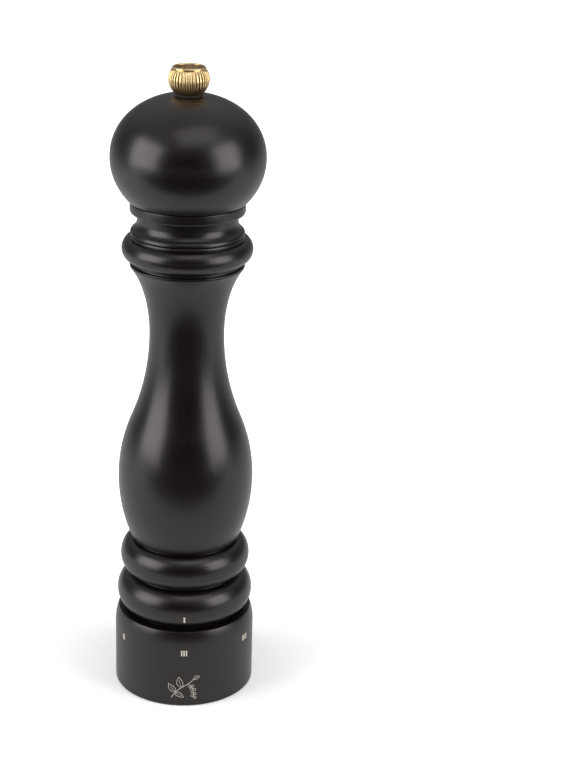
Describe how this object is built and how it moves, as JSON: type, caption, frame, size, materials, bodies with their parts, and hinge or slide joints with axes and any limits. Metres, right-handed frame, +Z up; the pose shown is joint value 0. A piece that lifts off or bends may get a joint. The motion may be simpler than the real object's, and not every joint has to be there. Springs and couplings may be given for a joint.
{
  "type": "pepper mill",
  "caption": "Tall turned wooden pepper mill with a ball head, a fluted brass knob and a grind selector ring in its base, over a steel grinding pair.",
  "frame": {"origin": "centre of the base, on the surface it stands on", "axes": "+Z up along the mill, -Y towards the marks on the front"},
  "size_m": [0.0698, 0.0698, 0.3],
  "materials": {
    "brass": "fluted, satin polished",
    "aged_brass": "darkened, satin",
    "fibre": "matt",
    "head_wood": "dark stain, satin lacquer",
    "body_wood": "dark stain, satin lacquer",
    "base_wood": "dark stain, satin lacquer",
    "plate_steel": "brushed",
    "screw_steel": "zinc plated",
    "bar_aluminium": "drawn bar, satin",
    "guide_plastic": "moulded",
    "bush_plastic": "natural acetal",
    "spring_steel": "blued",
    "washer_steel": "zinc plated",
    "coil_steel": "drawn wire",
    "tooth_steel": "case hardened, dark",
    "ring_steel": "case hardened, dark",
    "clip_steel": "blued",
    "housing_plastic": "moulded",
    "wood_screw_steel": "zinc plated",
    "bridge_steel": "stamped",
    "bush_bronze": "sintered bronze",
    "cam_plastic": "moulded",
    "cam_screw_steel": "zinc plated",
    "liner_plastic": "moulded",
    "leaf_steel": "spring tempered",
    "snap_steel": "blued"
  },
  "bodies": {
    "mill": {"mill_body": "body_wood", "housing": "housing_plastic", "housing_screws": "wood_screw_steel", "guide_spider": "guide_plastic", "stator": "ring_steel", "stator_clip": "clip_steel", "detent_spring": "leaf_steel", "base_snap_ring": "snap_steel"},
    "selector": {"base_ring": "base_wood", "cam_ring": "cam_plastic", "cam_ring_screws": "cam_screw_steel", "index_ring": "liner_plastic"},
    "lifter": {"bridge": "bridge_steel", "bridge_bush": "bush_bronze"},
    "drive": {"spindle": "bar_aluminium", "guide_bush": "bush_plastic", "spindle_clips": "spring_steel", "spring_washer": "washer_steel", "rotor_spring": "coil_steel"},
    "grinder": {"rotor": "tooth_steel"},
    "head": {"head": "head_wood", "drive_plate": "plate_steel", "drive_plate_screws": "screw_steel"},
    "nut_washer": {"knob_washer": "fibre"},
    "nut": {"knob": "brass", "knob_badge": "aged_brass"}
  },
  "joints": [
    {"name": "selector_turn", "type": "hinge", "parent": "mill", "child": "selector", "pos_m": [0, 0, 0], "axis": [0, 0, 1], "range_deg": [-180, 120], "deforming": ["detent_spring"]},
    {"name": "lifter_rise", "type": "slide", "parent": "mill", "child": "lifter", "axis": [0, 0, 1], "range_m": [-0.00108, 0.00072]},
    {"name": "head_turn", "type": "hinge", "parent": "mill", "child": "drive", "pos_m": [0, 0, 0], "axis": [0, 0, 1], "continuous": true},
    {"name": "rotor_rise", "type": "slide", "parent": "drive", "child": "grinder", "axis": [0, 0, 1], "range_m": [-0.00108, 0.00072], "deforming": ["rotor_spring"]},
    {"name": "head_lift", "type": "slide", "parent": "drive", "child": "head", "axis": [0, 0, 1], "range_m": [0, 0.075]},
    {"name": "knob_rise", "type": "slide", "parent": "head", "child": "nut_washer", "axis": [0, 0, 1], "range_m": [0, 0.008]},
    {"name": "knob_turn", "type": "hinge", "parent": "nut_washer", "child": "nut", "pos_m": [0, 0, 0.288], "axis": [0, 0, 1], "range_deg": [0, 3600]}
  ],
  "couplings": [
    {"joint": "selector_turn", "follows": "lifter_rise", "rad_per_m": 2915.4},
    {"joint": "rotor_rise", "follows": "lifter_rise", "ratio": 1},
    {"joint": "knob_turn", "follows": "knob_rise", "rad_per_m": 7854}
  ]
}
